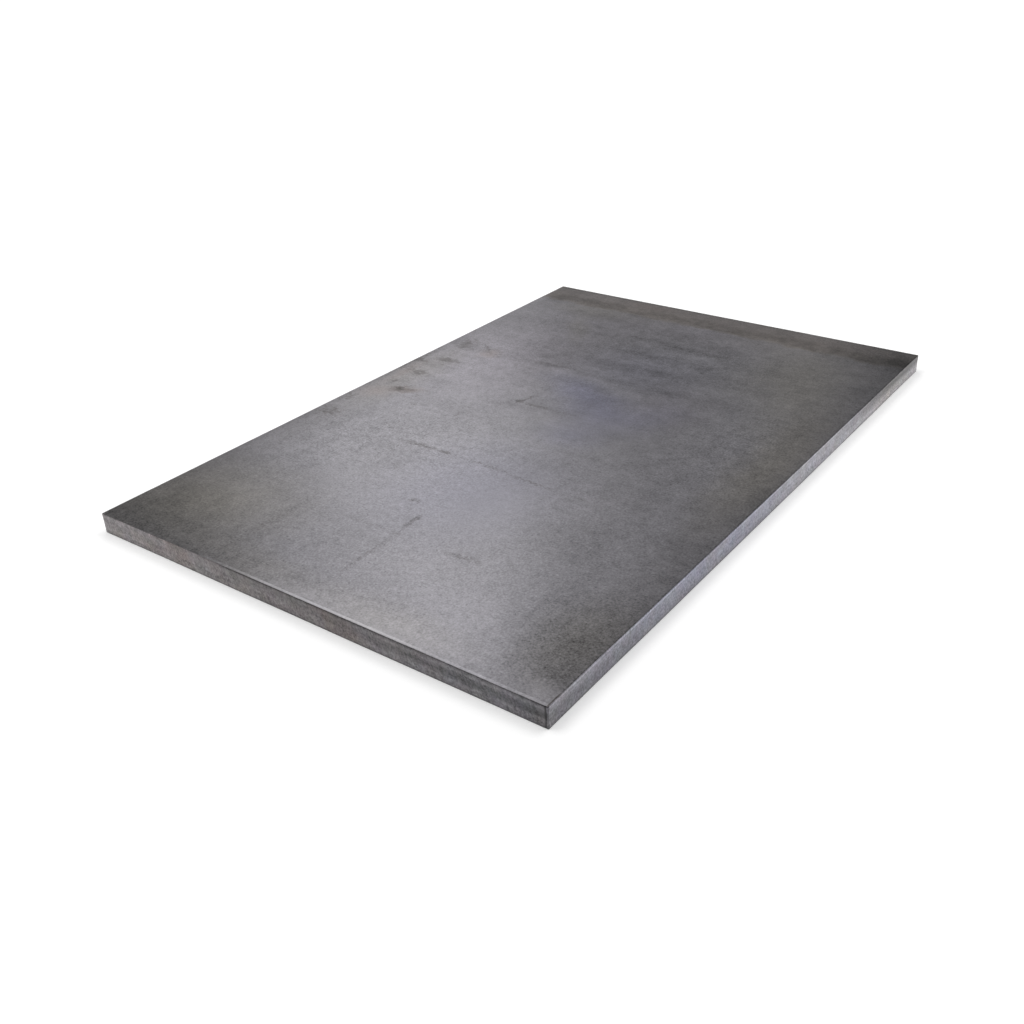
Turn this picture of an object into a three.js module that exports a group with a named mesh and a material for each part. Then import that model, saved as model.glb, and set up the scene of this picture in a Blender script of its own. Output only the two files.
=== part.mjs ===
// A cut length of hot-rolled steel plate, lying flat. Millimetres, +Z up.
// The origin is the middle of the underside. X runs across the plate and Y along it.
// All four sides are torch-cut walls. Each is rounded over at the top, where the flame
// melted the arris, hollow at half its height, and bevelled at the foot. The hollow fades
// towards the corners, apart from the near right one, where the flame gouged it.

import * as THREE from 'three';

// The sheet of stock
const PLATE_WIDTH = 500;
const PLATE_LENGTH = 750;
const PLATE_THICKNESS = 20;

// The upper arris, melted round by the flame
const ARRIS_RADIUS = 0.4;

// The cut wall, measured inwards from the nominal size
const WALL_HOLLOW = 0.4; // at the wall's half height
const WALL_LEAN = 0.1; // at the foot
const FOOT_BEVEL = 0.3; // left where the slag was knocked off

// The corners, where the flame turned
const CORNER_MELT = 0.15; // added to the radius of the arris
const CORNER_HOLLOW = 0.12; // in place of WALL_HOLLOW
const GOUGED_HOLLOW = 0.7; // the same at the near right corner, at +X, -Y
const CORNER_REACH = 12; // along a side, what a corner adds falls to a third in this distance

// The line of the cut, in plan
const CORNER_RADIUS = 0.2; // where a corner is tightest
const CUT_STRAY = 0.2; // the most that the torch strayed inside the nominal line
const CUT_STRAY_LEAST = 0.05; // the depth of a side's shallowest stray
const CUT_STRAY_PITCH = 165; // length of one stray along a side

// How finely curves are faceted
const STATION_PITCH = 16; // along a side, on average
const FEWEST_STEPS = 4; // along a side, however short
const CORNER_STEPS = 5;
const ARRIS_STEPS = 5;
const WALL_STEPS = 8;

const DEEPEST = Math.max(
  ARRIS_RADIUS + CORNER_MELT,
  GOUGED_HOLLOW + WALL_LEAN,
  WALL_LEAN + FOOT_BEVEL,
);
const CORNER_ROUND = CORNER_RADIUS + DEEPEST; // plan radius of a corner at its proudest
const QUARTER_TURN = Math.PI / 2;

/** The centre of each corner's round, anticlockwise from the one at +X, -Y. */
function cornerCentres(inset) {
  const x = PLATE_WIDTH / 2 - inset;
  const y = PLATE_LENGTH / 2 - inset;
  return [
    new THREE.Vector2(x, -y),
    new THREE.Vector2(x, y),
    new THREE.Vector2(-x, y),
    new THREE.Vector2(-x, -y),
  ];
}

/** A smooth wave from 0 to 1 and back, once for each whole turn. */
function wave(turns) {
  return 0.5 - 0.5 * Math.cos(2 * Math.PI * turns);
}

/**
 * How far the cut lies inside its nominal line, at a share of the way along a side. It is 0 at
 * both ends, and each side's strays deepen and fade along it in their own way.
 */
function strayAt(share, length, side) {
  const strays = Math.max(1, Math.round(length / CUT_STRAY_PITCH));
  const depth = THREE.MathUtils.lerp(CUT_STRAY, CUT_STRAY_LEAST, wave(share + side / 4));
  return depth * wave(strays * share);
}

/** The radius of the arris and the hollow of the wall, at a distance from the given corner. */
function wallAt(fromCorner, corner) {
  const nearness = Math.exp(-fromCorner / CORNER_REACH);
  const atCorner = corner === 0 ? GOUGED_HOLLOW : CORNER_HOLLOW;
  return {
    melt: ARRIS_RADIUS + CORNER_MELT * nearness,
    hollow: THREE.MathUtils.lerp(WALL_HOLLOW, atCorner, nearness),
  };
}

/**
 * The stations of the cut, anticlockwise from the corner at +X, -Y. Each has its place on the
 * nominal outline, the way out from there, how far the cut strays inwards, its wall, and the
 * number of the corner that it belongs to.
 */
function cutStations() {
  const stations = [];
  const centres = cornerCentres(CORNER_ROUND);
  centres.forEach((centre, side) => {
    const start = -QUARTER_TURN + side * QUARTER_TURN;
    for (let step = 0; step <= CORNER_STEPS; step += 1) {
      const angle = start + (step / CORNER_STEPS) * QUARTER_TURN;
      const out = new THREE.Vector2(Math.cos(angle), Math.sin(angle));
      const place = centre.clone().addScaledVector(out, CORNER_ROUND);
      stations.push({ place, out, stray: 0, wall: wallAt(0, side), corner: side });
    }

    const nextSide = (side + 1) % centres.length;
    const out = new THREE.Vector2(Math.cos(start + QUARTER_TURN), Math.sin(start + QUARTER_TURN));
    const from = centre.clone().addScaledVector(out, CORNER_ROUND);
    const to = centres[nextSide].clone().addScaledVector(out, CORNER_ROUND);
    const length = from.distanceTo(to);
    const steps = Math.max(FEWEST_STEPS, Math.round(length / STATION_PITCH));
    for (let step = 1; step < steps; step += 1) {
      // Stations crowd towards the corners, where the arris changes fastest
      const share = wave(step / steps / 2);
      const along = share * length;
      const corner = share < 0.5 ? side : nextSide;
      stations.push({
        place: from.clone().lerp(to, share),
        out,
        stray: strayAt(share, length, side),
        wall: wallAt(Math.min(along, length - along), corner),
        corner,
      });
    }
  });
  return stations;
}

/** The wall's section, from the rim of the top face to the rim of the underside. */
function wallSection({ melt, hollow }) {
  const section = [];
  for (let step = 0; step <= ARRIS_STEPS; step += 1) {
    const angle = (step / ARRIS_STEPS) * QUARTER_TURN;
    section.push({
      inset: melt * (1 - Math.sin(angle)),
      height: PLATE_THICKNESS - melt * (1 - Math.cos(angle)),
    });
  }
  const wallTop = PLATE_THICKNESS - melt;
  for (let step = 1; step <= WALL_STEPS; step += 1) {
    const down = step / WALL_STEPS;
    section.push({
      inset: hollow * wave(down) + WALL_LEAN * down,
      height: THREE.MathUtils.lerp(wallTop, FOOT_BEVEL, down),
    });
  }
  section.push({ inset: WALL_LEAN + FOOT_BEVEL, height: 0 });
  return section;
}

/** The closed surface: a wall lofted round the cut, and a flat rolled face at each end of it. */
function plateGeometry() {
  const stations = cutStations();
  const positions = [];
  const faces = [];

  stations.forEach(({ place, out, stray, wall }) => {
    wallSection(wall).forEach(({ inset, height }) => {
      const point = place.clone().addScaledVector(out, -inset - stray);
      positions.push(point.x, point.y, height);
    });
  });

  const rows = wallSection(stations[0].wall).length;
  const count = stations.length;
  for (let station = 0; station < count; station += 1) {
    const here = station * rows;
    const next = ((station + 1) % count) * rows;
    for (let row = 0; row < rows - 1; row += 1) {
      faces.push(here + row, here + row + 1, next + row + 1);
      faces.push(here + row, next + row + 1, next + row);
    }
  }

  // Each rolled face is one large rectangle and a narrow border that joins it to the rim
  [
    { row: 0, height: PLATE_THICKNESS, turn: (a, b, c) => faces.push(a, b, c) },
    { row: rows - 1, height: 0, turn: (a, b, c) => faces.push(a, c, b) },
  ].forEach(({ row, height, turn }) => {
    const first = positions.length / 3;
    cornerCentres(CORNER_ROUND + CUT_STRAY).forEach(({ x, y }) => positions.push(x, y, height));
    turn(first, first + 1, first + 2);
    turn(first, first + 2, first + 3);
    stations.forEach(({ corner }, station) => {
      const following = (station + 1) % count;
      const nextCorner = stations[following].corner;
      turn(first + corner, station * rows + row, following * rows + row);
      if (nextCorner !== corner) {
        turn(first + corner, following * rows + row, first + nextCorner);
      }
    });
  });

  const geometry = new THREE.BufferGeometry();
  geometry.setAttribute('position', new THREE.Float32BufferAttribute(positions, 3));
  geometry.setIndex(faces);
  geometry.computeVertexNormals();
  return geometry;
}

function steelPlate() {
  const millScale = new THREE.MeshStandardMaterial({
    color: 0x777577,
    roughness: 0.42,
    metalness: 0.85,
  });
  const plate = new THREE.Mesh(plateGeometry(), millScale);
  plate.name = 'steel_plate';
  return plate;
}

const part = new THREE.Group();
part.add(steelPlate());

export default part;
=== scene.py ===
"""A cut length of hot-rolled steel plate lying on a white studio floor. Metres, +Z up."""

import math
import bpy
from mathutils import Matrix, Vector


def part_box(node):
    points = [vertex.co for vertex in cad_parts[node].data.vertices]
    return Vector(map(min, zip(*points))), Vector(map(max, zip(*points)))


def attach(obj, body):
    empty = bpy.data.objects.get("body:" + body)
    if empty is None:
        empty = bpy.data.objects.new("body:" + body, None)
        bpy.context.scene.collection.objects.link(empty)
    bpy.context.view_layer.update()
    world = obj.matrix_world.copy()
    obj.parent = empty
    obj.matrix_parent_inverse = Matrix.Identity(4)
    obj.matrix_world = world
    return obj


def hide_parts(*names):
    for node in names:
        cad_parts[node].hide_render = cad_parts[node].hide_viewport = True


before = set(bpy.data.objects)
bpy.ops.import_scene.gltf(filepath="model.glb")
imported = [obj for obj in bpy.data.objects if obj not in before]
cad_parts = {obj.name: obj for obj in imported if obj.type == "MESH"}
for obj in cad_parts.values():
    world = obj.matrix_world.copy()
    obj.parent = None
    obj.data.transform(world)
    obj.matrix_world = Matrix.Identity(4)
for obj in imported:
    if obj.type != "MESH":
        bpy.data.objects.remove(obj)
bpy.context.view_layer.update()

from types import SimpleNamespace

import bpy
import numpy as np
from mathutils import Quaternion, Vector

LOW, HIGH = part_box("steel_plate")
HALF_WIDTH = (HIGH.x - LOW.x) / 2
HALF_LENGTH = (HIGH.y - LOW.y) / 2
THICKNESS = HIGH.z - LOW.z
RIGHT_EDGE = HALF_WIDTH
FAR_EDGE = HALF_LENGTH
NEAR_EDGE = -HALF_LENGTH

MM = 0.001
MICRON = 0.000001
QUARTER_TURN = math.pi / 2

# The cut, as in the part's source
ARRIS_RADIUS = 0.0004
WALL_HOLLOW = 0.0004
WALL_LEAN = 0.0001
FOOT_BEVEL = 0.0003
CORNER_MELT = 0.00015  # added to the radius of the arris at a corner
CORNER_HOLLOW = 0.00012  # in place of the wall's hollow at a corner
GOUGED_HOLLOW = 0.0007  # the same at the corner at +X, -Y
CORNER_REACH = 0.012  # what a corner adds falls to a third in this distance
CORNER_ROUND = 0.001  # plan radius of a corner at its proudest
CUT_STRAY = 0.0002
CUT_STRAY_LEAST = 0.00005
CUT_STRAY_PITCH = 0.165

# How finely the cut and the rolled faces are meshed
STATION_PITCH = 0.00125
CORNER_STEPS = 6
CORNER_CRISP = 0.00015  # from a corner's round to the first station beside it
ARRIS_STEPS = 6
WALL_STEPS = 12
CELL = 0.0125  # side of a square of the rolled faces

# Relief of the cut
GOUGE_DEPTH = 0.00012
GOUGE_LENGTH = 0.017
GOUGE_HEIGHT = 0.011
FINE_GOUGE = 0.006
FINE_GOUGE_SHARE = 0.5
DRAG_DEPTH = 0.00005
DRAG_PITCH = 0.0022
DRAG_HEIGHT = 0.03
DRAG_TRAIL = 1.2  # how far the drag lines trail at the foot, in pitches
DRAG_AT_TOP = 0.4  # share of the depth of the drag lines that they have at the top
FOOT_UNEVEN = 0.35  # share of the bevel
FOOT_PITCH = 0.008

# Unevenness of the arris, which fades at the corners
ARRIS_UNEVEN = 0.18  # share of the arris radius
ARRIS_PITCH = 0.021
FINE_ARRIS_PITCH = 0.006
FINE_ARRIS_SHARE = 0.6
ARRIS_FADE = 0.01

# Waves of the rolled faces, which fade at the edges
ROLL_WAVE_DEPTH = 0.0002
ROLL_WAVE_MEAN = 0.5  # shares of the depth
ROLL_WAVE_SWING = 0.35
ROLL_WAVE = (0.19, 0.23)  # its size across and along the plate
ROLL_WAVE_SHIFT = (7.3, 2.1)  # in waves
FINE_ROLL_WAVE = (0.083, 0.11)
FINE_ROLL_SHARE = 0.45
ROLL_FADE = 0.03

# Seeds of the noise in the mesh
ARRIS_SEED, FINE_ARRIS_SEED = 1, 2
GOUGE_SEED, FINE_GOUGE_SEED = 3, 4
DRAG_SEED = 5
FOOT_SEED = 6
TOP_SEEDS = (12, 22)
UNDERSIDE_SEEDS = (10, 20)

# Places of the materials in the mesh
CUT, TOP, UNDERSIDE = range(3)


# ---------------------------------------------------------------- smooth noise for the mesh

LATTICE = 256  # squares along a side of the noise's grid, after which it repeats


def eased(share):
    """A share from 0 to 1 that leaves 0 and reaches 1 gently."""
    return share * share * (3 - 2 * share)


def lattice_noise(seed, across, up):
    """Smooth noise from -1 to 1 at the given grid coordinates."""
    lattice = np.random.default_rng(seed).uniform(-1.0, 1.0, (LATTICE + 1, LATTICE + 1))
    x0 = np.floor(across).astype(int)
    y0 = np.floor(up).astype(int)
    fx = eased(across - x0)
    fy = eased(up - y0)
    x0 %= LATTICE
    y0 %= LATTICE
    low = lattice[x0, y0] * (1 - fx) + lattice[x0 + 1, y0] * fx
    high = lattice[x0, y0 + 1] * (1 - fx) + lattice[x0 + 1, y0 + 1] * fx
    return low * (1 - fy) + high * fy


def wave(turns):
    """A smooth wave from 0 to 1 and back, once for each whole turn."""
    return 0.5 - 0.5 * np.cos(2 * np.pi * turns)


# ---------------------------------------------------------------- the plate


def cut_stations():
    """The stations of the cut, anticlockwise from the corner at +X, -Y.

    Returns the place on the nominal outline, the way out, the stray inwards, the distance from
    the nearest corner and the distance travelled, one row each.
    """
    places, outs, strays, corners, travelled = [], [], [], [], []
    x = HALF_WIDTH - CORNER_ROUND
    y = HALF_LENGTH - CORNER_ROUND
    centres = [np.array(c) for c in ((x, -y), (x, y), (-x, y), (-x, -y))]
    run = 0.0
    for side, centre in enumerate(centres):
        start = (side - 1) * QUARTER_TURN
        for step in range(CORNER_STEPS + 1):
            angle = start + step / CORNER_STEPS * QUARTER_TURN
            out = np.array((math.cos(angle), math.sin(angle)))
            places.append(centre + out * CORNER_ROUND)
            outs.append(out)
            strays.append(0.0)
            corners.append(0.0)
            travelled.append(run + (angle - start) * CORNER_ROUND)
        run += CORNER_ROUND * QUARTER_TURN

        out = outs[-1]
        begin = places[-1]
        finish = centres[(side + 1) % len(centres)] + out * CORNER_ROUND
        length = float(np.linalg.norm(finish - begin))
        steps = round(length / STATION_PITCH)
        swings = round(length / CUT_STRAY_PITCH)
        close = CORNER_CRISP / length
        shares = [close] + [step / steps for step in range(1, steps)] + [1 - close]
        for share in shares:
            depth = CUT_STRAY + (CUT_STRAY_LEAST - CUT_STRAY) * wave(share + side / len(centres))
            places.append(begin + (finish - begin) * share)
            outs.append(out)
            strays.append(depth * wave(swings * share))
            corners.append(min(share, 1 - share) * length)
            travelled.append(run + share * length)
        run += length
    return [np.array(v) for v in (places, outs, strays, corners, travelled)]


def wall_relief(along, height, down):
    """How far gouges and drag lines reach into the wall, at a share of the way down it."""
    gouge = lattice_noise(GOUGE_SEED, along / GOUGE_LENGTH, height / GOUGE_HEIGHT)
    fine = lattice_noise(FINE_GOUGE_SEED, along / FINE_GOUGE, height / FINE_GOUGE)
    gouge = gouge + FINE_GOUGE_SHARE * fine
    trail = DRAG_TRAIL * down * down
    drag = lattice_noise(DRAG_SEED, along / DRAG_PITCH + trail, height / DRAG_HEIGHT)
    strength = DRAG_AT_TOP + (1 - DRAG_AT_TOP) * down
    relief = GOUGE_DEPTH * gouge + DRAG_DEPTH * drag * strength
    return relief * math.sin(math.pi * down)


def wall_section(melt, hollow, along):
    """Inset and height of each row of the wall, from the top's rim to the underside's."""
    insets, heights = [], []
    for step in range(ARRIS_STEPS + 1):
        angle = step / ARRIS_STEPS * QUARTER_TURN
        insets.append(melt * (1 - math.sin(angle)))
        heights.append(THICKNESS - melt * (1 - math.cos(angle)))
    for step in range(1, WALL_STEPS + 1):
        down = step / WALL_STEPS
        height = (THICKNESS - melt) * (1 - down) + FOOT_BEVEL * down
        inset = hollow * wave(down) + WALL_LEAN * down
        insets.append(inset + wall_relief(along, height, down))
        heights.append(height)
    uneven = FOOT_UNEVEN * lattice_noise(FOOT_SEED, along / FOOT_PITCH, np.zeros_like(along))
    insets.append(WALL_LEAN + FOOT_BEVEL * (1 + uneven))
    heights.append(0.0)
    return insets, heights


def wall_points(stations):
    """The points of the wall, in one ring for each row of its section."""
    place, out, stray, from_corner, along = stations
    nearness = np.exp(-from_corner / CORNER_REACH)
    level = np.zeros_like(along)
    uneven = lattice_noise(ARRIS_SEED, along / ARRIS_PITCH, level)
    fine = lattice_noise(FINE_ARRIS_SEED, along / FINE_ARRIS_PITCH, level)
    uneven = uneven + FINE_ARRIS_SHARE * fine
    fading = np.clip(from_corner / ARRIS_FADE, 0, 1)
    melt = ARRIS_RADIUS + CORNER_MELT * nearness
    melt = melt * (1 + ARRIS_UNEVEN * uneven * fading)
    to_near_right = np.hypot(place[:, 0] - RIGHT_EDGE, place[:, 1] - NEAR_EDGE)
    at_corner = np.where(to_near_right < HALF_WIDTH / 2, GOUGED_HOLLOW, CORNER_HOLLOW)
    hollow = WALL_HOLLOW + (at_corner - WALL_HOLLOW) * nearness
    rings = []
    for inset, height in zip(*wall_section(melt, hollow, along)):
        flat = place - out * (inset + stray)[:, None]
        rings.append(np.column_stack([flat, np.broadcast_to(height, len(place))]))
    return rings


def wall_faces(rings, count):
    """The squares between the rings, which have so many points each."""
    faces = []
    for ring in range(rings - 1):
        upper = ring * count
        lower = upper + count
        for here in range(count):
            after = (here + 1) % count
            faces.append((upper + here, lower + here, lower + after, upper + after))
    return faces


def grid_line(half):
    """Where the lines of a rolled face's grid run, up to one cell inside its edges."""
    reach = half - CELL
    cells = max(2, round(2 * reach / CELL))
    return np.linspace(-reach, reach, cells + 1)


def wave_depth(x, y, seeds):
    """How far a rolled face lies inside its nominal plane."""
    seed, fine_seed = seeds
    swell = lattice_noise(seed, x / ROLL_WAVE[0] + ROLL_WAVE_SHIFT[0],
                          y / ROLL_WAVE[1] + ROLL_WAVE_SHIFT[1])
    fine = lattice_noise(fine_seed, x / FINE_ROLL_WAVE[0], y / FINE_ROLL_WAVE[1])
    swell = swell + FINE_ROLL_SHARE * fine
    from_edge = np.minimum(HALF_WIDTH - np.abs(x), HALF_LENGTH - np.abs(y))
    fading = eased(np.clip(from_edge / ROLL_FADE, 0, 1))
    return ROLL_WAVE_DEPTH * (ROLL_WAVE_MEAN + ROLL_WAVE_SWING * swell) * fading


def border_faces(ring, spots, place, rim):
    """The polygons that join each edge of a grid's outer ring to the rim's points beside it.

    The ring's points have the given numbers and lie at the spots in plan. The rim's points are
    numbered from rim and lie near the places of the cut's stations.
    """
    count = len(place)
    nearest = [int(np.argmin(((place - spot) ** 2).sum(1))) for spot in spots]
    faces = []
    for k, point in enumerate(ring):
        after = (k + 1) % len(ring)
        steps = (nearest[after] - nearest[k]) % count
        edge = [rim + (nearest[k] + step) % count for step in range(steps + 1)]
        faces.append((point, *edge, ring[after]))
    return faces


def rolled_face(level, sign, seeds, first, place, rim):
    """The points and faces of the top (sign 1) or the underside (-1): a grid and its border.

    Its own points are numbered from first, and the wall's that it joins from rim.
    """
    across, along = np.meshgrid(grid_line(HALF_WIDTH), grid_line(HALF_LENGTH))
    height = level - sign * wave_depth(across, along, seeds)
    points = np.column_stack([across.ravel(), along.ravel(), height.ravel()])
    index = np.arange(len(points)).reshape(across.shape)
    faces = []
    for j in range(index.shape[0] - 1):
        for i in range(index.shape[1] - 1):
            square = (index[j, i], index[j, i + 1], index[j + 1, i + 1], index[j + 1, i])
            faces.append(tuple(first + corner for corner in square))

    ring = np.concatenate([index[:-1, -1], index[-1, :0:-1], index[:0:-1, 0], index[0, :-1]])
    faces += border_faces(list(first + ring), points[ring, :2], place, rim)
    if sign < 0:
        faces = [face[::-1] for face in faces]
    return points, faces


def plate_mesh():
    """The plate as one closed mesh: the cut wall, then the top and the underside."""
    stations = cut_stations()
    place = stations[0]
    count = len(place)
    rings = wall_points(stations)
    points = np.concatenate(rings)
    faces = wall_faces(len(rings), count)
    kinds = [CUT] * len(faces)
    foot = (len(rings) - 1) * count
    for kind, level, sign, seeds, rim in ((TOP, THICKNESS, 1, TOP_SEEDS, 0),
                                          (UNDERSIDE, 0.0, -1, UNDERSIDE_SEEDS, foot)):
        more_points, more_faces = rolled_face(level, sign, seeds, len(points), place, rim)
        points = np.concatenate([points, more_points])
        faces += more_faces
        kinds += [kind] * len(more_faces)

    mesh = bpy.data.meshes.new("plate")
    mesh.from_pydata(points.tolist(), [], faces)
    mesh.update()
    mesh.validate()
    mesh.polygons.foreach_set("material_index", kinds)
    mesh.polygons.foreach_set("use_smooth", [True] * len(faces))
    return mesh


# ---------------------------------------------------------------- short ways to add nodes


def connect(tree, value, socket):
    """Feed a socket from another one, or set it to a plain value."""
    if isinstance(value, bpy.types.NodeSocket):
        tree.links.new(value, socket)
    else:
        socket.default_value = value


def maths(tree, operation, *values, clamp=False):
    """The result of an operation on numbers."""
    node = tree.nodes.new("ShaderNodeMath")
    node.operation = operation
    node.use_clamp = clamp
    for value, socket in zip(values, node.inputs):
        connect(tree, value, socket)
    return node.outputs[0]


def vector(tree, operation, *values):
    """The result of an operation on vectors or colours."""
    node = tree.nodes.new("ShaderNodeVectorMath")
    node.operation = operation
    for value, socket in zip(values, node.inputs):
        connect(tree, value, socket)
    return node.outputs[0]


def scaled(tree, colour, share):
    """A colour or a vector times a number."""
    node = tree.nodes.new("ShaderNodeVectorMath")
    node.operation = "SCALE"
    connect(tree, colour, node.inputs[0])
    connect(tree, share, node.inputs["Scale"])
    return node.outputs[0]


def total(tree, values):
    """The sum of numbers."""
    result = values[0]
    for value in values[1:]:
        result = maths(tree, "ADD", result, value)
    return result


def product(tree, values):
    """Numbers times each other."""
    result = values[0]
    for value in values[1:]:
        result = maths(tree, "MULTIPLY", result, value)
    return result


def weighed(tree, pairs):
    """The sum of numbers, each of them times its weight."""
    return total(tree, [maths(tree, "MULTIPLY", value, weight) for value, weight in pairs])


def components(tree, where):
    """The X, Y and Z of a vector."""
    node = tree.nodes.new("ShaderNodeSeparateXYZ")
    tree.links.new(where, node.inputs[0])
    return tuple(node.outputs)


def spread(tree, value, low, high, to_low=0.0, to_high=1.0):
    """The value carried smoothly from one range to another, and held at its ends."""
    node = tree.nodes.new("ShaderNodeMapRange")
    node.interpolation_type = "SMOOTHSTEP"
    connect(tree, value, node.inputs["Value"])
    connect(tree, low, node.inputs["From Min"])
    connect(tree, high, node.inputs["From Max"])
    connect(tree, to_low, node.inputs["To Min"])
    connect(tree, to_high, node.inputs["To Max"])
    return node.outputs["Result"]


def blended(tree, share, first, second):
    """The first number where the share is 0 and the second where it is 1."""
    node = tree.nodes.new("ShaderNodeMix")
    connect(tree, share, node.inputs[0])
    connect(tree, first, node.inputs[2])
    connect(tree, second, node.inputs[3])
    return node.outputs[0]


def mixed(tree, share, first, second):
    """The first colour where the share is 0 and the second where it is 1."""
    node = tree.nodes.new("ShaderNodeMix")
    node.data_type = "RGBA"
    connect(tree, share, node.inputs[0])
    connect(tree, first, node.inputs[6])
    connect(tree, second, node.inputs[7])
    return node.outputs[2]


def placed(tree, where, place=(0, 0, 0), turn=0.0, size=(1, 1, 1)):
    """Coordinates seen from a place, turned about Z in degrees, with the given unit."""
    node = tree.nodes.new("ShaderNodeMapping")
    node.vector_type = "TEXTURE"
    tree.links.new(where, node.inputs["Vector"])
    node.inputs["Location"].default_value = place
    node.inputs["Rotation"].default_value = (0, 0, math.radians(turn))
    node.inputs["Scale"].default_value = size
    return node.outputs[0]


def noise(tree, where, feature, detail=2.0, roughness=0.5, output="Fac", solid=False):
    """Noise around 0.5, its largest features of the given size in metres."""
    node = tree.nodes.new("ShaderNodeTexNoise")
    node.noise_dimensions = "3D" if solid else "2D"
    tree.links.new(where, node.inputs["Vector"])
    node.inputs["Scale"].default_value = 1 / feature
    node.inputs["Detail"].default_value = detail
    node.inputs["Roughness"].default_value = roughness
    return node.outputs[output]


def around(tree, value, amount):
    """Noise around 0.5 turned into a number around 0, from about -amount to amount."""
    return maths(tree, "MULTIPLY_ADD", value, 4 * amount, -2 * amount)


def warped(tree, where, feature, reach):
    """Coordinates pushed about by noise, for outlines that wander."""
    push = noise(tree, where, feature, 3.0, 0.6, "Color")
    push = vector(tree, "SUBTRACT", push, (0.5, 0.5, 0.5))
    return vector(tree, "MULTIPLY_ADD", push, (reach, reach, 0), where)


def marks(tree, where, rows):
    """The sum of soft oval marks: x, y, half length, half width in mm, turn, strength."""
    shares = []
    for x, y, long, wide, turn, strength in rows:
        size = (long * MM, wide * MM, MARK_DEPTH)
        inside = placed(tree, where, (x * MM, y * MM, 0), turn, size)
        ball = tree.nodes.new("ShaderNodeTexGradient")
        ball.gradient_type = "SPHERICAL"
        tree.links.new(inside, ball.inputs["Vector"])
        shares.append(spread(tree, ball.outputs["Fac"], 0, 1, 0, strength))
    return total(tree, shares)


def torn(tree, value, wear):
    """Marks with a torn outline, from 0 to 1."""
    return spread(tree, maths(tree, "ADD", value, around(tree, wear, 0.5)), 0.25, 0.95)


def new_material(name):
    """A metallic material, its node tree, its Principled shader and the object's coordinates."""
    material = bpy.data.materials.new(name)
    material.use_nodes = True
    tree = material.node_tree
    shader = tree.nodes["Principled BSDF"]
    shader.inputs["Metallic"].default_value = 1.0
    where = tree.nodes.new("ShaderNodeTexCoord").outputs["Object"]
    return material, tree, shader, where


def finish_with(tree, shader, colour, roughness, microns):
    """Feed the shader its colour, its roughness and a relief given in thousandths of a mm."""
    connect(tree, colour, shader.inputs["Base Color"])
    connect(tree, roughness, shader.inputs["Roughness"])
    bump = tree.nodes.new("ShaderNodeBump")
    bump.inputs["Strength"].default_value = 1.0
    bump.inputs["Distance"].default_value = MICRON
    connect(tree, microns, bump.inputs["Height"])
    tree.links.new(bump.outputs["Normal"], shader.inputs["Normal"])


# ---------------------------------------------------------------- the rolled faces

# In the materials, places across and along the plate and heights are in metres from its origin,
# and tones and strengths are shares

NOISE_ORIGIN = (-0.83, -0.61, 0)  # off the plate, as all the sizes of noise line up at it
MARK_DEPTH = 1000.0  # in metres, so that a mark is the same at any height

# Marks on the upper face, listed one by one. Each row: x, y, half length and half width in mm,
# turn in degrees, strength
# The paler and darker areas are partly the scale's own mottling and partly painted: painted
# highlights along the near rim, painted reflections in the middle, and painted shade at the
# corners and along the right side.
MOTTLE_SHEEN_AND_SHADE_AREAS = (  # paler and darker areas
    (-225, 350, 85, 55, 0, -0.25),
    (222, 340, 105, 50, 0, -0.37),
    (250, 325, 48, 120, 0, -0.34),
    (212, 290, 50, 90, 0, -0.1),
    (248, 210, 44, 150, 0, -0.2),
    (252, -40, 32, 130, 0, -0.24),
    (250, -240, 45, 180, 0, -0.24),
    (195, -275, 65, 70, 0, -0.22),
    (225, -325, 70, 58, 0, -0.3),
    (135, -180, 70, 75, 0, -0.18),
    (160, 60, 70, 120, 0, 0.07),
    (170, 240, 50, 50, 0, 0.07),
    (-30, 275, 60, 40, 0, -0.08),
    (95, 320, 100, 90, 0, 0.14),
    (120, -330, 80, 60, 0, 0.14),
    (244, -364, 30, 22, 0, 0.24),
    (48, 213, 26, 16, 0, -0.2),
    (205, 368, 55, 22, 0, -0.2),
    (85, 95, 24, 110, 0, 0.07),
    (-150, -65, 50, 44, 0, 0.08),
    (175, 165, 70, 150, 0, 0.09),
    (-150, -125, 90, 26, 0, -0.08),
    (-70, -190, 50, 30, 0, -0.06),
    (-225, -310, 40, 70, 0, -0.08),
    (165, -200, 60, 45, 0, -0.08),
    (225, -150, 36, 70, 0, -0.12),
    (-185, 150, 60, 30, 0, 0.08),
    (-195, -40, 50, 30, 0, 0.08),
    (-120, 290, 110, 130, 0, -0.1),
    (-225, -375, 240, 72, 0, -0.4),
    (-200, -310, 80, 60, 0, -0.12),
    (-55, -265, 120, 80, 0, -0.12),
    (-100, -150, 60, 50, 0, -0.11),
    (85, -375, 140, 34, 0, 0.28),
    (-15, -380, 75, 34, 0, 0.26),
    (-215, 180, 80, 62, 0, 0.18),
    (-160, 75, 80, 130, 0, 0.12),
    (-155, 115, 60, 110, 0, 0.11),
    (-60, 70, 34, 70, 0, -0.1),
    (-248, -60, 44, 70, 0, 0.16),
    (-252, -190, 34, 80, 0, 0.16),
    (140, 10, 110, 170, 0, 0.07),
    (-70, 195, 120, 70, 0, -0.12),
    (60, 310, 190, 60, 0, 0.06),
)
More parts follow.
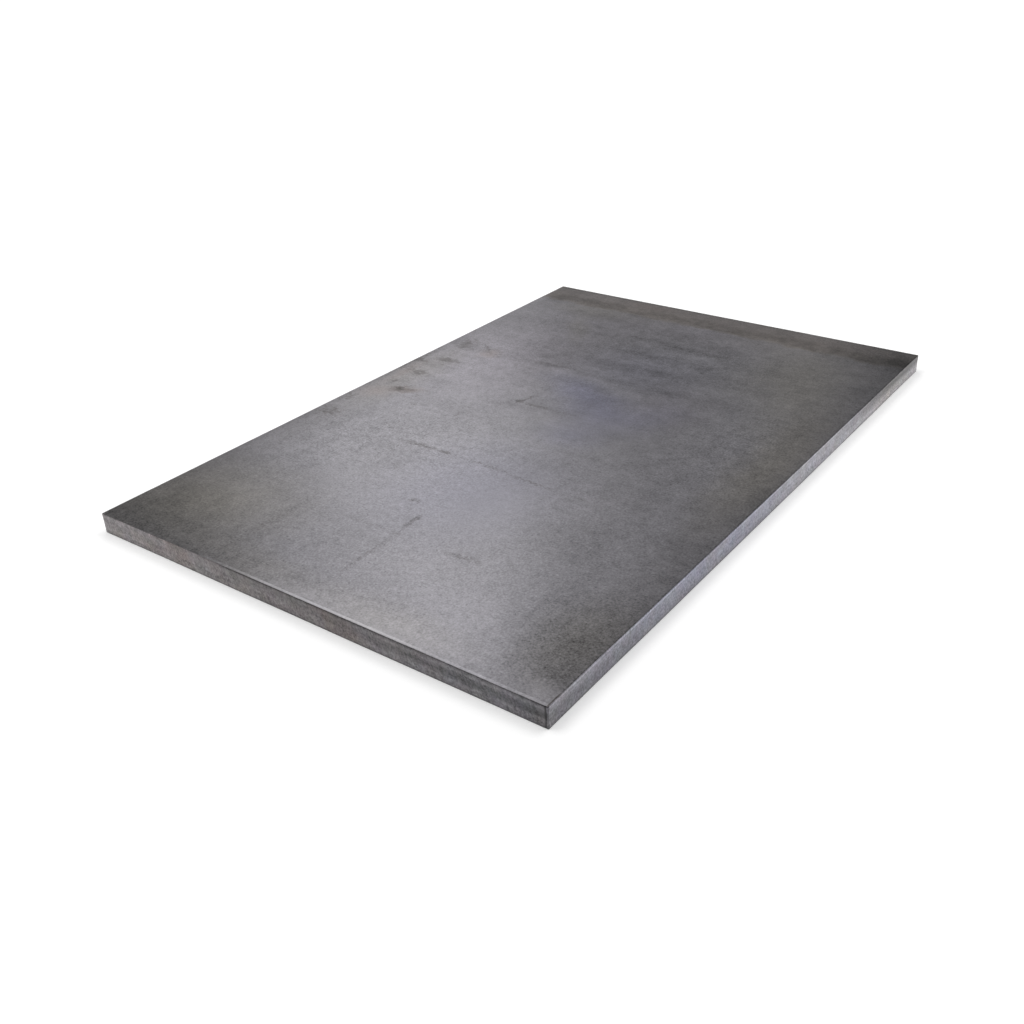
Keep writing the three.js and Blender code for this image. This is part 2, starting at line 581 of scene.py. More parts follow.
FAINT_LINES = (  # fine dark lines
    (-196, 134, 30, 6, -41, 0.7),
    (-105, 131, 58, 6, 4, 0.6),
    (-133, 106, 9, 4, -60, 0.7),
    (-66, 40, 20, 3.5, 68, 0.9),
    (-71, 29, 9, 7, 60, 1.0),
    (-52, 28, 36, 5, 3, 0.6),
    (-209, -13, 14, 8, -30, 0.8),
    (-180, -18, 20, 8, -20, 0.5),
    (-165, -38, 12, 9, -40, 0.6),
    (-107, -34, 18, 4, 90, 0.6),
    (-150, -94, 30, 4, -25, 0.6),
    (-92, -111, 46, 6, 0, 0.8),
    (-60, -111, 12, 6, 0, 0.9),
    (-8, -112, 50, 5, -3, 0.65),
    (50, -117, 50, 4, -4, 0.75),
    (110, -120, 34, 4, -3, 0.5),
    (-82, -160, 16, 8, -60, 0.5),
    (-22, -202, 12, 6, 0, 0.75),
    (2, -232, 28, 7, 88, 0.76),
    (6, -295, 80, 8, 90, 0.55),
    (-30, -256, 100, 5, 0, 0.42),
    (78, -256, 42, 7, 4, 0.63),
    (-106, -295, 90, 10, 90, 0.5),
    (-24, 27, 60, 3, 2, 0.5),
)
EDGE_STAINS = (  # dark stains along the left side
    (-226, 133, 24, 28, 0, 0.75),
    (-214, 81, 36, 12, 0, 1.1),
    (-238, 62, 20, 8, 0, 0.8),
    (-213, 64, 6, 4, 0, 0.9),
    (-222, 34, 34, 10, -10, 0.95),
    (-248, 60, 8, 120, 0, 0.7),
    (-227, 1, 9, 6, 0, 0.9),
    (-203, -15, 30, 15, 20, 0.95),
    (-232, -100, 34, 24, 0, 0.7),
    (-240, -60, 16, 20, 0, 0.7),
)
SMEARS = (  # dull smears across the far half
    (-5, 255, 100, 9, -3, 1.0),
    (-8, 291, 34, 16, 20, 0.7),
    (62, 267, 46, 11, 6, 0.6),
    (-124, 263, 24, 14, 0, 0.5),
    (-25, 214, 110, 13, 0, 0.75),
    (62, 212, 40, 16, -4, 0.6),
    (-118, 153, 34, 9, 35, 0.6),
    (-75, 169, 54, 11, 6, 0.7),
    (0, 172, 105, 17, 0, 0.7),
    (-104, 130, 64, 8, 3, 1.1),
    (20, 130, 100, 10, 0, 0.7),
    (92, 241, 16, 8, 20, 0.6),
    (-78, 85, 34, 12, 0, 0.3),
    (212, 280, 16, 10, 0, 0.8),
    (228, 240, 28, 28, 0, 0.6),
)
PALE_SMEARS = (  # pale smears between them
    (33, 238, 30, 10, 10, 1.0),
    (6, 197, 60, 9, 0, 0.9),
    (-20, 271, 50, 6, -4, 0.5),
    (-60, 150, 60, 6, 0, 0.5),
    (-185, 112, 60, 12, 0, 0.7),
    (-182, -19, 8, 5, 0, 1.0),
)
COARSE_AREAS = (  # where the grain is busier
    (40, -350, 260, 100, 0, 0.08),
    (-190, 160, 100, 220, 0, 0.2),
    (-175, -140, 90, 130, 0, 0.3),
    (-90, -90, 110, 140, 0, 0.22),
    (180, 40, 80, 170, 0, 0.33),
    (30, 240, 190, 130, 0, 0.24),
)
SMOOTH_AREAS = (  # where it is calmer
    (45, -170, 70, 105, 0, 0.26),
    (30, 20, 130, 105, 0, 0.24),
)
BLUE_BLOOM = (  # where the scale is blue
    (18, 54, 100, 58, -20, 0.9),
    (-38, 92, 75, 36, -15, 0.7),
    (25, -10, 60, 45, 0, 0.5),
    (80, 75, 40, 60, 0, 0.35),
    (0, 170, 120, 120, 0, 0.4),
    (10, -150, 130, 150, 0, 0.35),
)
MAUVE_TINT = (  # where it is mauve
    (-150, 150, 170, 260, 0, 0.9),
    (0, 330, 300, 110, 0, 0.8),
    (72, 90, 80, 90, 0, 0.7),
)
RUST_TINT = (  # where it has flash rust
    (-200, -14, 34, 14, 20, 0.7),
    (-186, 122, 20, 24, -40, 0.5),
    (-225, -35, 30, 22, 0, 0.5),
    (-100, 362, 46, 14, 0, 0.6),
    (-236, 25, 12, 60, 0, 0.4),
)
WARM_TINT = (  # where it is brownish
    (228, -300, 60, 85, 0, 0.5),
    (160, 250, 95, 140, 0, 0.7),
    (200, 150, 70, 120, 0, 0.5),
    (226, 20, 50, 190, 0, 0.8),
    (-80, -362, 130, 40, 0, 0.4),
    (-100, 335, 100, 60, 0, 0.3),
    (90, 325, 100, 70, 0, 0.3),
    (-165, 310, 80, 36, 0, 0.5),
    (-140, 250, 22, 70, 27, 0.4),
    (-225, 20, 45, 150, 0, 0.4),
    (-190, -300, 150, 110, 0, 0.8),
    (-225, -345, 130, 90, 0, 0.3),
    (80, -360, 120, 40, 0, 0.3),
)

SCALE_COLOUR = (0.1975, 0.192, 0.2065, 1)
# The colour of dirt, and on the upper face also of painted shade
DIRT_AND_SHADE_COLOUR = (0.078, 0.0705, 0.067, 1)
BLUE_COLOUR = (0.177, 0.175, 0.225, 1)
WARM_COLOUR = (0.2045, 0.193, 0.178, 1)
MAUVE_COLOUR = (0.1985, 0.1875, 0.208, 1)
FLASH_RUST_COLOUR = (0.213, 0.182, 0.175, 1)
ROLLED_ROUGHNESS = 0.38

# Sizes of the features of mill scale, in metres
CLOUD = 0.1
BLOTCH = 0.02
STREAK = 0.0065
DARK_FLECK = 0.0035
PALE_FLECK = 0.003
GRAIN = 0.002
ACROSS_THE_ROLL = (1.15, 1, 1)  # the streaks and flecks are a little longer across the plate
GRAIN_STRENGTH = 0.62  # on the upper face, away from the coarse and the smooth areas


def scale_grain(tree, where, busy):
    """The grain of mill scale: its tone around 0, its relief in microns, blotches and grain."""
    clouds = noise(tree, where, CLOUD, 3.0, 0.55)
    blotches = noise(tree, where, BLOTCH, 3.0, 0.6)
    drawn = placed(tree, where, size=ACROSS_THE_ROLL)
    elsewhere = placed(tree, where, (0.31, 0.17, 0), size=ACROSS_THE_ROLL)
    streaks = noise(tree, drawn, STREAK, 3.0, 0.6)
    grain = noise(tree, where, GRAIN, 3.0, 0.7)
    dark_flecks = noise(tree, drawn, DARK_FLECK, 2.0, 0.6)
    dark_flecks = spread(tree, dark_flecks, 0.58, 0.74, 0.0, -0.3)
    pale_flecks = noise(tree, elsewhere, PALE_FLECK, 2.0, 0.6)
    pale_flecks = spread(tree, pale_flecks, 0.6, 0.76, 0.0, 0.25)
    fine = total(tree, [around(tree, blotches, 0.17), around(tree, streaks, 0.19),
                        around(tree, grain, 0.46), dark_flecks, pale_flecks])
    tone = maths(tree, "MULTIPLY_ADD", fine, busy, around(tree, clouds, 0.08))
    microns = weighed(tree, [(blotches, 26.0), (streaks, 9.0), (grain, 5.0)])
    return tone, microns, blotches, grain


def top_coordinates(tree, where):
    """The object's coordinates, moved off the noise's origin or pushed about for the marks."""
    at = SimpleNamespace(plain=where)
    at.beyond = placed(tree, where, NOISE_ORIGIN)
    at.wandering = warped(tree, where, 0.035, 0.018)
    at.bitten = warped(tree, where, 0.006, 0.009)
    at.frayed = warped(tree, at.wandering, 0.008, 0.012)
    at.across, at.along, _ = components(tree, at.wandering)
    return at


def top_grain(tree, at):
    """The grain of the upper face, busier and calmer in places."""
    busy = maths(tree, "SUBTRACT", marks(tree, at.plain, COARSE_AREAS),
                 marks(tree, at.plain, SMOOTH_AREAS))
    busy = maths(tree, "ADD", busy, GRAIN_STRENGTH)
    return scale_grain(tree, at.beyond, busy)


def top_marks(tree, at):
    """The lines, stains and smears of the upper face, and drifts of tone along its far half."""
    seen = SimpleNamespace()
    brushed = placed(tree, at.beyond, size=(4.0, 1, 1))
    wiped = spread(tree, noise(tree, brushed, 0.012, 4.0, 0.65), 0.32, 0.6, 0.2, 1.0)
    drifting = placed(tree, at.beyond, size=(3.0, 1, 1))
    seen.drifts = around(tree, noise(tree, drifting, 0.03, 3.0, 0.6), 0.12)

    lines = marks(tree, at.bitten, FAINT_LINES)
    seen.lines = torn(tree, lines, noise(tree, at.beyond, 0.0024, 3.0, 0.75))
    stroked = placed(tree, at.beyond, size=(2.2, 1, 1))
    stains = marks(tree, at.frayed, EDGE_STAINS)
    seen.stains = torn(tree, stains, noise(tree, stroked, 0.004, 4.0, 0.75))
    seen.smears = product(tree, [marks(tree, at.wandering, SMEARS), wiped])
    seen.pale = product(tree, [marks(tree, at.wandering, PALE_SMEARS), wiped])
    return seen


def top_bands(tree, at):
    """Bands along the edges of the upper face: sides darker partly of their own and partly by
    painted shade, a brown band and the far end.
    """
    bands = SimpleNamespace()
    # The left and right bands darken the sides, partly painted shade
    left = spread(tree, at.across, -0.18, -HALF_WIDTH)
    bands.left = product(tree, [left, spread(tree, at.along, 0.15, -0.1, 0.25, 1.0)])
    bands.right = spread(tree, at.across, 0.185, HALF_WIDTH)
    mottled = noise(tree, at.beyond, 0.022, 4.0, 0.65)
    mottled = spread(tree, mottled, 0.36, 0.64, 0.45, 1.35)
    bands.brown = product(tree, [spread(tree, at.along, FAR_EDGE - 0.053, FAR_EDGE - 0.043),
                                 spread(tree, at.along, FAR_EDGE - 0.017, FAR_EDGE - 0.035),
                                 mottled])
    bands.far_end = spread(tree, at.along, FAR_EDGE - 0.055, FAR_EDGE - 0.043)
    return bands


def top_dirt_and_shade(tree, seen, bands, exact_across, exact_along):
    """How much dirt and painted shade darken the upper face, from 0 upwards."""
    # The corner mark is a painted shadow line along the right rim next to the near corner
    corner = product(tree, [spread(tree, exact_across, RIGHT_EDGE - 0.0023, RIGHT_EDGE - 0.0013),
                            spread(tree, exact_along, NEAR_EDGE + 0.023, NEAR_EDGE + 0.011)])
    # The lines and stains are real marks, and the brown band and the far end real colour; the side
    # bands are partly painted shade
    return weighed(tree, [(seen.lines, 0.6), (seen.stains, 0.55), (corner, 0.8),
                          (bands.left, 0.22), (bands.right, 0.2), (bands.brown, 0.36),
                          (bands.far_end, 0.13)])


def top_rims(tree, across, exact_across, exact_along):
    """What the rims of the upper face add to its tone.

    The near rim has a painted highlight, most of all in the middle, and a painted dark line of
    shade along its edge; the right rim has a painted shadow line, and the far rim is darker in a
    narrow strip. The exact places are those that no noise has pushed about.
    """
    # A painted highlight along the near rim, brightest next to the edge
    rim = product(tree, [spread(tree, exact_along, NEAR_EDGE + 0.01, NEAR_EDGE + 0.004, 0.0, 0.16),
                         spread(tree, across, 0.16, 0.07)])
    rim_glint = spread(tree, exact_along, NEAR_EDGE + 0.0036, NEAR_EDGE + 0.0028, 0.0, 0.72)
    rim_glint = product(tree, [rim_glint, spread(tree, across, 0.07, 0.14, 1.0, 0.5)])
    rim = product(tree, [maths(tree, "ADD", rim, rim_glint), spread(tree, across, -0.13, -0.04)])
    # A painted dark line of shade right at the near rim's edge
    line = spread(tree, exact_along, NEAR_EDGE + 0.0012, NEAR_EDGE + 0.0007, 0.0, -0.45)
    line = product(tree, [line, spread(tree, across, -0.13, -0.04),
                          spread(tree, across, 0.13, 0.2, 1.0, 0.2)])
    # A painted shadow line inside the right rim, and a darker strip along the far rim
    right_rim = spread(tree, exact_across, RIGHT_EDGE - 0.0022, RIGHT_EDGE - 0.0012, 0.0, -0.22)
    far_rim = spread(tree, exact_along, FAR_EDGE - 0.0085, FAR_EDGE - 0.003, 0.0, -0.2)
    return [rim, line, right_rim, far_rim]


def top_tone(tree, at, tone, seen, rims):
    """The tone of the upper face around 1: its grain, its areas of mottling with painted
    reflections and shade, the rims' painted highlight and shade, smears and drifts.
    """
    dull = product(tree, [spread(tree, at.along, 0.116, 0.123),
                         spread(tree, at.along, 0.22, 0.14), spread(tree, at.across, 0.13, 0.05)])
    # The areas are the scale's own mottling together with painted reflections and painted shade
    mottle_sheen_and_shade = marks(tree, at.wandering, MOTTLE_SHEEN_AND_SHADE_AREAS)
    smears = weighed(tree, [(seen.pale, 0.26), (seen.smears, -0.27), (dull, -0.06)])
    drifts = product(tree, [seen.drifts, spread(tree, at.along, -0.1, 0.05),
                            spread(tree, at.across, 0.18, 0.1)])
    return total(tree, [tone, mottle_sheen_and_shade, *rims, smears, drifts, 1.0])


def top_colour(tree, at, bands, dirt_and_shade):
    """The colour of the upper face before its tone: scale, its tints, flash rust, and dirt and
    painted shade.
    """
    blue = maths(tree, "MINIMUM", marks(tree, at.wandering, BLUE_BLOOM), 1.0)
    warm = total(tree, [marks(tree, at.wandering, WARM_TINT),
                        maths(tree, "MULTIPLY", bands.brown, 0.35),
                        maths(tree, "MULTIPLY", bands.far_end, 0.5)])
    warm = maths(tree, "MINIMUM", warm, 1.0)
    mauve = maths(tree, "MINIMUM", marks(tree, at.wandering, MAUVE_TINT), 1.0)
    colour = mixed(tree, mauve, SCALE_COLOUR, MAUVE_COLOUR)
    colour = mixed(tree, blue, colour, BLUE_COLOUR)
    colour = mixed(tree, warm, colour, WARM_COLOUR)
    rusted = maths(tree, "ADD", marks(tree, at.frayed, RUST_TINT),
                   maths(tree, "MULTIPLY", bands.far_end, 0.5))
    colour = mixed(tree, rusted, colour, FLASH_RUST_COLOUR)
    return mixed(tree, maths(tree, "MINIMUM", dirt_and_shade, 0.9), colour, DIRT_AND_SHADE_COLOUR)


def rolled_top():
    """Mill scale as the photograph shows it, with its marks and tints."""
    material, tree, shader, where = new_material("rolled_top")
    at = top_coordinates(tree, where)
    tone, microns, blotches, grain = top_grain(tree, at)
    seen = top_marks(tree, at)
    bands = top_bands(tree, at)
    exact_across, exact_along, _ = components(tree, where)
    # Dirt and painted shade darken the colour, and the rims and areas of the tone hold painted
    # highlights, reflections and shade
    dirt_and_shade = top_dirt_and_shade(tree, seen, bands, exact_across, exact_along)
    rims = top_rims(tree, at.across, exact_across, exact_along)
    tone = top_tone(tree, at, tone, seen, rims)
    colour = scaled(tree, top_colour(tree, at, bands, dirt_and_shade), tone)

    rough = total(tree, [around(tree, blotches, 0.02), around(tree, grain, 0.015),
                         maths(tree, "MULTIPLY", dirt_and_shade, 0.1), ROLLED_ROUGHNESS])
    finish_with(tree, shader, colour, rough, microns)
    return material


def rolled_underside():
    """Plain mill scale with patches of dirt."""
    material, tree, shader, where = new_material("rolled_underside")
    elsewhere = placed(tree, where, (0.7, 0.4, 0), 180)
    tone, microns, blotches, grain = scale_grain(tree, elsewhere, 1.0)
    patches = spread(tree, noise(tree, elsewhere, 0.06, 4.0, 0.6), 0.45, 0.65)
    colour = mixed(tree, maths(tree, "MULTIPLY", patches, 0.3), SCALE_COLOUR, DIRT_AND_SHADE_COLOUR)
    colour = scaled(tree, colour, maths(tree, "ADD", tone, 1.0))
    rough = total(tree, [around(tree, blotches, 0.03), around(tree, grain, 0.02),
                         maths(tree, "MULTIPLY", patches, 0.08), ROLLED_ROUGHNESS])
    finish_with(tree, shader, colour, rough, microns)
    return material


# ---------------------------------------------------------------- the cut walls

NEAR_WALL_COLOUR = (0.206, 0.191, 0.193, 1)
NEAR_END_COLOUR = (0.196, 0.189, 0.2, 1)
# The right wall's colours are lighter than the other walls': painted light
RIGHT_WALL_LIT_COLOUR = (0.285, 0.279, 0.306, 1)
BLUE_LIT_WALL_COLOUR = (0.264, 0.2655, 0.321, 1)
OTHER_WALL_COLOUR = (0.215, 0.206, 0.212, 1)
RUST_COLOUR = (0.17, 0.125, 0.1, 1)
TAN_COLOUR = (0.27, 0.25, 0.235, 1)
WALL_ROUGHNESS = 0.42
DRAG_LEAN = 0.25  # how far the drag lines lean, in shares of the thickness

# A wall's own finish starts this far inside its edge and is full a little further out
WALL_FROM = 0.0022
WALL_FULL = 0.0013

# Heights between which the bands of a wall begin, from the top
MELTED = (THICKNESS - 0.0007, THICKNESS - 0.0003)
NEAR_MELTED = (THICKNESS - 0.001, THICKNESS - 0.0004)
MELT_LINE = (THICKNESS - 0.002, THICKNESS - 0.0013)
GLEAM = (THICKNESS - 0.0028, THICKNESS - 0.0016)
# The last band is a painted shadow below the near wall's arris
ARRIS_SHADOW_BAND = (THICKNESS - 0.0035, THICKNESS - 0.0005)
FOOT_SHADE = 0.0028  # height up to which the foot is dark


def cut_noise(tree, where, height):
    """The noises of a torch cut: drag lines through the thickness, layers, patches and grain."""
    tall = tree.nodes.new("ShaderNodeCombineXYZ")
    for socket in tall.inputs:
        tree.links.new(height, socket)
    leaning = vector(tree, "MULTIPLY_ADD", tall.outputs[0], (DRAG_LEAN, DRAG_LEAN, 0), where)
    cut = SimpleNamespace()
    drawn = placed(tree, leaning, size=(1, 1, 12))
    cut.drag = noise(tree, drawn, 0.0016, 2.0, 0.6, solid=True)
    ridged = placed(tree, leaning, size=(1, 1, 4))
    cut.coarse = noise(tree, ridged, 0.007, 2.0, 0.5, solid=True)
    layered = placed(tree, where, size=(25, 25, 1))
    cut.layers = noise(tree, layered, 0.0026, 2.0, 0.6, solid=True)
    cut.blotches = noise(tree, where, 0.009, 3.0, 0.6, solid=True)
    cut.patches = noise(tree, where, 0.05, 3.0, 0.55, solid=True)
    cut.grain = noise(tree, where, 0.002, 3.0, 0.7, solid=True)
    cut.tint = noise(tree, where, 0.014, 2.0, 0.5, "Color", solid=True)
    return cut


def near_wall_tone(tree, across, height):
    """Partly painted light and shade: palest at its left end, with a dark smear half way up at the
    right and a painted shadow below the arris.
    """
    base = spread(tree, across, -0.17, 0.02, 1.09, 0.87)
    right_half = spread(tree, across, 0.0, 0.2, 0.0, 0.12)
    right_end = spread(tree, across, 0.19, 0.245, 0.0, -0.15)
    upper = spread(tree, height, 0.005, 0.014, 0.0, -0.09)
    smear = product(tree, [spread(tree, across, -0.03, 0.21, 0.0, -0.34),
                           spread(tree, height, 0.006, 0.009), spread(tree, height, 0.017, 0.012)])
    # A painted shadow below the arris, from left of the middle to the right end
    arris_shadow = product(tree, [spread(tree, across, -0.13, -0.06, 0.0, -0.28),
                          spread(tree, height, *ARRIS_SHADOW_BAND)])
    # Lighter below and darker above, across the middle of the wall
    middle_band = product(tree, [spread(tree, across, -0.13, -0.03), spread(tree, across, 0.12, 0.03),
                          spread(tree, height, 0.008, 0.016, 0.07, -0.05)])
    low = product(tree, [spread(tree, across, -0.08, 0.0, 0.06, -0.045),
                         spread(tree, height, 0.009, 0.004), spread(tree, across, 0.2, 0.15)])
    return total(tree, [base, right_half, right_end, upper, smear, arris_shadow, middle_band, low])


def right_wall_tone(tree, along, height):
    """Painted light and shade: paler towards the far end below, dark above at the far end, and
    darker half way up at the near end.
    """
    lower = spread(tree, along, -0.42, 0.36, 0.82, 1.55)
    upper = product(tree, [spread(tree, along, -0.42, 0.1, 0.85, 1.25),
                           spread(tree, along, 0.08, 0.31, 1.0, 0.4)])
    rising = spread(tree, height, 0.005, 0.015)
    tone = maths(tree, "ADD", maths(tree, "MULTIPLY", upper, rising),
                 maths(tree, "MULTIPLY", lower, maths(tree, "SUBTRACT", 1.0, rising)))
    dusk = product(tree, [spread(tree, along, -0.2, -0.36), spread(tree, height, 0.003, 0.008),
                          spread(tree, height, 0.015, 0.011, 0.0, 0.19)])
    return maths(tree, "SUBTRACT", tone, dusk)


def arris_tone(tree, at, near):
    """The tone around 1 of the melted arris and of the wall just below it, painted highlights and
    shade.

    Above, the near wall has painted shade where the rim shines and a painted highlight towards its
    left end, and the other walls catch the light in a painted highlight that is darker again at
    the very top, with more painted highlight and shade in places.
    """
    near_arris = maths(tree, "MULTIPLY", spread(tree, at.height, *NEAR_MELTED),
                       spread(tree, at.across, -0.14, -0.06, 0.24, -0.45))
    stretched = placed(tree, at.plain, size=(1, 1, 9))
    ripple = noise(tree, stretched, 0.016, 2.0, 0.5, solid=True)
    melt_line = maths(tree, "ADD", at.height, around(tree, ripple, 0.0005))
    other_arris = maths(tree, "ADD", spread(tree, melt_line, *MELT_LINE, 0.0, 0.25),
                        spread(tree, at.height, *MELTED, 0.0, -0.5))
    gleam = product(tree, [spread(tree, melt_line, *GLEAM), spread(tree, at.along, -0.36, -0.34),
                           spread(tree, at.along, -0.15, -0.22, 0.0, 0.26)])
    shade = product(tree, [spread(tree, at.height, *MELTED), spread(tree, at.along, -0.12, 0.0),
                           spread(tree, at.along, 0.2, 0.12, 0.0, 0.22)])
    other_arris = maths(tree, "ADD", other_arris, maths(tree, "SUBTRACT", gleam, shade))
    return maths(tree, "ADD", blended(tree, near, other_arris, near_arris), 1.0)


def cut_unevenness(tree, cut, along, near, right, neither):
    """The tone around 1 of drag lines, layers, blotches and grain.

    The grain is strongest at the right wall's far half, and weakest on the walls out of sight.
    """
    calm = maths(tree, "MULTIPLY_ADD", right, -0.35, 1.0)
    grooves = maths(tree, "ADD", around(tree, cut.drag, 0.22), around(tree, cut.coarse, 0.12))
    far_right = maths(tree, "MULTIPLY", right, spread(tree, along, 0.0, 0.3, 0.0, 0.2))
    gritty = total(tree, [far_right, maths(tree, "MULTIPLY", neither, -0.5), 1.0])
    grain = maths(tree, "MULTIPLY", around(tree, cut.grain, 0.52), gritty)
    grooves = maths(tree, "MULTIPLY", grooves, calm)
    layers = around(tree, cut.layers, 0.24)
    layered = maths(tree, "ADD", spread(tree, along, -0.2, 0.3, 0.3, 1.0),
                    maths(tree, "MULTIPLY", near, 0.4))
    layers = maths(tree, "MULTIPLY", layers, layered)
    return total(tree, [grooves, layers, around(tree, cut.blotches, 0.19), grain, 1.0])


def near_corner_tone(tree, across, grain, near):
    """The near wall's tone around 1, which falls where it turns into the right wall."""
    to_right = maths(tree, "MULTIPLY_ADD", grain, 0.003, maths(tree, "ADD", across, -0.0015))
    dark = spread(tree, to_right, RIGHT_EDGE - 0.0044, RIGHT_EDGE - 0.0019, 0.0, 0.7)
    return maths(tree, "SUBTRACT", 1.0, maths(tree, "MULTIPLY", near, dark))


def wall_colour(tree, at, cut, near, right):
    """The colour of each wall before its tone, with tan and rusty patches."""
    near_colour = mixed(tree, spread(tree, at.across, 0.0, 0.2), NEAR_WALL_COLOUR, NEAR_END_COLOUR)
    blued = product(tree, [spread(tree, at.along, -0.36, -0.2),
                           spread(tree, at.along, 0.06, -0.08),
                           spread(tree, at.height, 0.001, 0.013, 0.4, 1.0)])
    right_lit_colour = mixed(tree, blued, RIGHT_WALL_LIT_COLOUR, BLUE_LIT_WALL_COLOUR)
    colour = mixed(tree, near, OTHER_WALL_COLOUR, near_colour)
    colour = mixed(tree, right, colour, right_lit_colour)
    tan = maths(tree, "ADD", spread(tree, cut.patches, 0.5, 0.64, 0.0, 0.3),
                spread(tree, at.along, 0.1, 0.3, 0.0, 0.45))
    colour = mixed(tree, maths(tree, "MULTIPLY", tan, right), colour, TAN_COLOUR)
    rust = product(tree, [spread(tree, cut.patches, 0.5, 0.66, 0.0, 0.25),
                          spread(tree, at.across, 0.05, 0.2, 1.0, 0.2)])
    rusting = maths(tree, "SUBTRACT", 1.0, right, clamp=True)
    colour = mixed(tree, maths(tree, "MULTIPLY", rust, rusting), colour, RUST_COLOUR)
    stain = vector(tree, "MULTIPLY_ADD", cut.tint, (0.13, 0.13, 0.13), (0.935, 0.935, 0.935))
    return vector(tree, "MULTIPLY", colour, stain)


def cut_wall():
    """The torch-cut walls: the near and the right one as in the photograph, the others plainer."""
    material, tree, shader, where = new_material("cut_wall")
    at = SimpleNamespace(plain=where)
    at.across, at.along, at.height = components(tree, where)
    near = spread(tree, at.along, NEAR_EDGE + WALL_FROM, NEAR_EDGE + WALL_FULL)
    right = spread(tree, at.across, RIGHT_EDGE - WALL_FROM, RIGHT_EDGE - WALL_FULL)
    cut = cut_noise(tree, where, at.height)

    # The near and the right wall's tones are partly painted light and shade
    near_tone = near_wall_tone(tree, at.across, at.height)
    right_tone = right_wall_tone(tree, at.along, at.height)
    side_tone = maths(tree, "ADD", maths(tree, "MULTIPLY", near_tone, near),
                      maths(tree, "MULTIPLY", right_tone, right))
    neither = maths(tree, "SUBTRACT", maths(tree, "SUBTRACT", 1.0, near), right, clamp=True)
    side_tone = maths(tree, "ADD", side_tone, neither)

    foot = spread(tree, at.height, FOOT_SHADE, 0.0, 1.0, 0.52)
    arris = arris_tone(tree, at, near)
    uneven = cut_unevenness(tree, cut, at.along, near, right, neither)
    corner = near_corner_tone(tree, at.across, cut.grain, near)
    tone = product(tree, [side_tone, foot, arris, corner, uneven])
    colour = scaled(tree, wall_colour(tree, at, cut, near, right), tone)

    rough = total(tree, [around(tree, cut.blotches, 0.05), around(tree, cut.drag, 0.03),
                         WALL_ROUGHNESS])
    microns = weighed(tree, [(cut.drag, 26.0), (cut.coarse, 50.0), (cut.grain, 12.0)])
    finish_with(tree, shader, colour, rough, microns)
    return material


# ---------------------------------------------------------------- studio

AIR_STRENGTH = 0.45
FLOOR_REACH = 30.0
FLOOR_COLOUR = (0.8, 0.8, 0.8, 1)
GLOW_REACH = (0.47, 2.2)  # metres from the plate's middle between which the glow grows
GLOW = (0.3, 0.75)

# Each lamp: name, azimuth, elevation and distance from the plate's middle, sides and power
SOFTBOXES = (
    ("tall_softbox", 46.3, 34.4, 3.5, (0.93, 1.17), 10.4),
    ("left_softbox", 120, 67, 3.0, (1.4, 1.4), 30),
    ("back_softbox", -30, 69, 3.0, (1.3, 1.3), 24),
)

# The camera, at the photograph's viewing angle. The roll is in degrees and the lens in mm
CAMERA_PLACE = (0.6057, -0.8577, 0.5173)
CAMERA_AIM = (0.0650, -0.1181, THICKNESS)
CAMERA_ROLL = -1.98
CAMERA_SENSOR = 36.0
CAMERA_LENS = 39.26
CAMERA_SHIFT = (-0.0309, -0.0245)


def studio_floor_material():
    """Matt white, with a glow that grows with the distance as the lamps' light falls off."""
    material = bpy.data.materials.new("studio_floor")
    material.use_nodes = True
    tree = material.node_tree
    tree.nodes.clear()
    matt = tree.nodes.new("ShaderNodeBsdfDiffuse")
    matt.inputs["Color"].default_value = FLOOR_COLOUR
    glow = tree.nodes.new("ShaderNodeEmission")
    where = tree.nodes.new("ShaderNodeTexCoord").outputs["Object"]
    reach = tree.nodes.new("ShaderNodeVectorMath")
    reach.operation = "LENGTH"
    tree.links.new(where, reach.inputs[0])
    strength = spread(tree, reach.outputs["Value"], *GLOW_REACH, *GLOW)
    tree.links.new(strength, glow.inputs["Strength"])
    both = tree.nodes.new("ShaderNodeAddShader")
    tree.links.new(matt.outputs[0], both.inputs[0])
    tree.links.new(glow.outputs[0], both.inputs[1])
    output = tree.nodes.new("ShaderNodeOutputMaterial")
    tree.links.new(both.outputs[0], output.inputs[0])
    return material


def studio_floor():
    """A wide floor under the plate, which is no part of the object."""
    side = FLOOR_REACH
    corners = [(-side, -side, 0), (side, -side, 0), (side, side, 0), (-side, side, 0)]
    mesh = bpy.data.meshes.new("studio_floor")
    mesh.from_pydata(corners, [], [(0, 1, 2, 3)])
    floor = bpy.data.objects.new("studio_floor", mesh)
    bpy.context.scene.collection.objects.link(floor)
    mesh.materials.append(studio_floor_material())


def turned_to(place, aim):
    """The turn that points a lamp or a camera at its aim."""
    return (Vector(aim) - Vector(place)).to_track_quat("-Z", "Y")


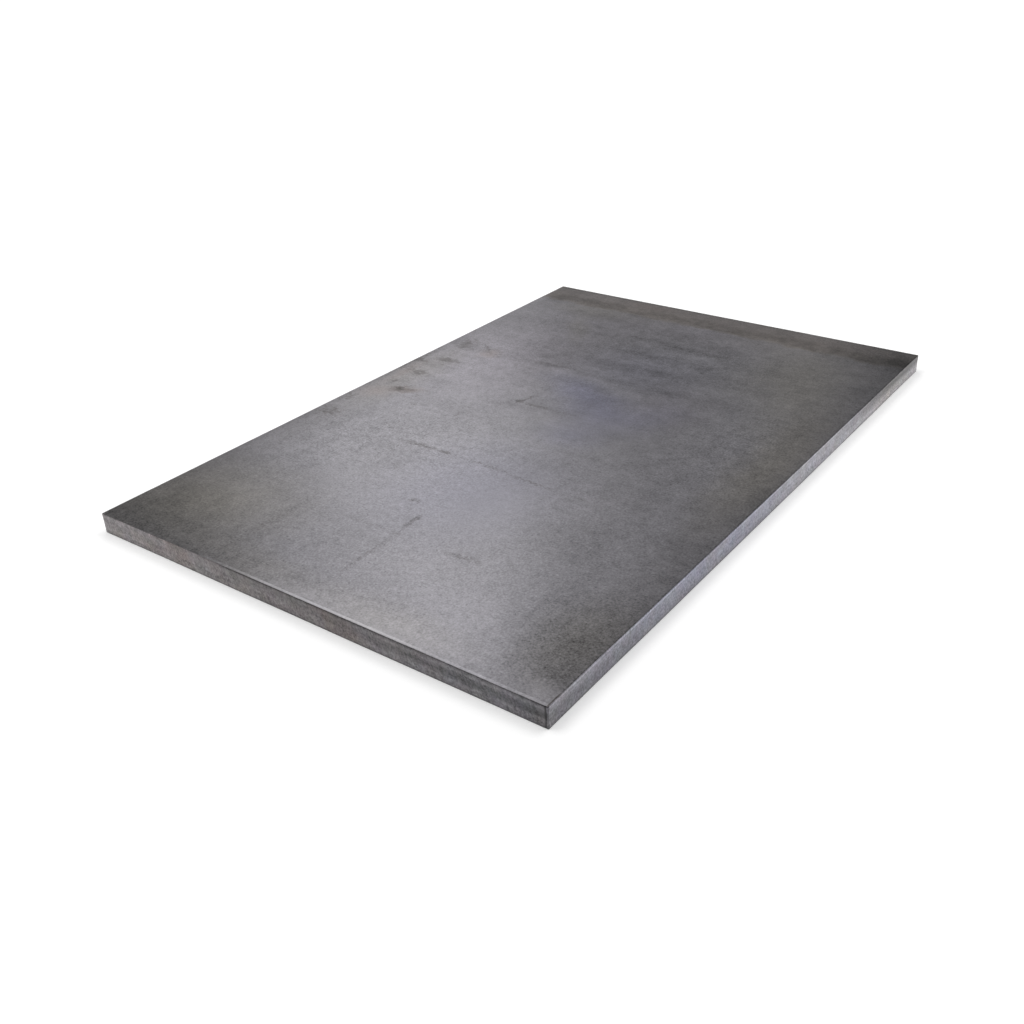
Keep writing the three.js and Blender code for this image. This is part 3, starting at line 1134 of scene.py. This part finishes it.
def softbox(name, azimuth, elevation, distance, sides, power):
    """A lamp that faces the plate's middle. Azimuth 0 is +Y and 90 is -X, in degrees."""
    a, e = math.radians(azimuth), math.radians(elevation)
    flat = math.cos(e) * distance
    place = (-math.sin(a) * flat, math.cos(a) * flat, math.sin(e) * distance)
    data = bpy.data.lights.new(name, "AREA")
    data.shape = "RECTANGLE"
    data.size, data.size_y = sides
    data.energy = power
    lamp = bpy.data.objects.new(name, data)
    bpy.context.scene.collection.objects.link(lamp)
    lamp.location = place
    lamp.rotation_mode = "QUATERNION"
    lamp.rotation_quaternion = turned_to(place, (0, 0, 0))


def studio():
    """The plain air, the floor and the lamps."""
    scene = bpy.context.scene
    scene.view_settings.view_transform = "Standard"
    world = bpy.data.worlds.new("studio_air")
    scene.world = world
    world.use_nodes = True
    air = world.node_tree.nodes["Background"]
    air.inputs["Color"].default_value = (1, 1, 1, 1)
    air.inputs["Strength"].default_value = AIR_STRENGTH
    studio_floor()
    for row in SOFTBOXES:
        softbox(*row)


def camera():
    """The camera of the photograph."""
    data = bpy.data.cameras.new("camera")
    eye = bpy.data.objects.new("camera", data)
    bpy.context.scene.collection.objects.link(eye)
    eye.location = CAMERA_PLACE
    eye.rotation_mode = "QUATERNION"
    roll = Quaternion((0, 0, 1), math.radians(CAMERA_ROLL))
    eye.rotation_quaternion = turned_to(CAMERA_PLACE, CAMERA_AIM) @ roll
    data.sensor_width = CAMERA_SENSOR
    data.lens = CAMERA_LENS
    data.shift_x, data.shift_y = CAMERA_SHIFT
    bpy.context.scene.camera = eye


# ---------------------------------------------------------------- making


def plate():
    """The one piece, which stands for the CAD's node."""
    mesh = plate_mesh()
    piece = bpy.data.objects.new("plate", mesh)
    bpy.context.scene.collection.objects.link(piece)
    # In the order of CUT, TOP and UNDERSIDE
    mesh.materials.append(cut_wall())
    mesh.materials.append(rolled_top())
    mesh.materials.append(rolled_underside())
    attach(piece, "root")
    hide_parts("steel_plate")


plate()
studio()
camera()
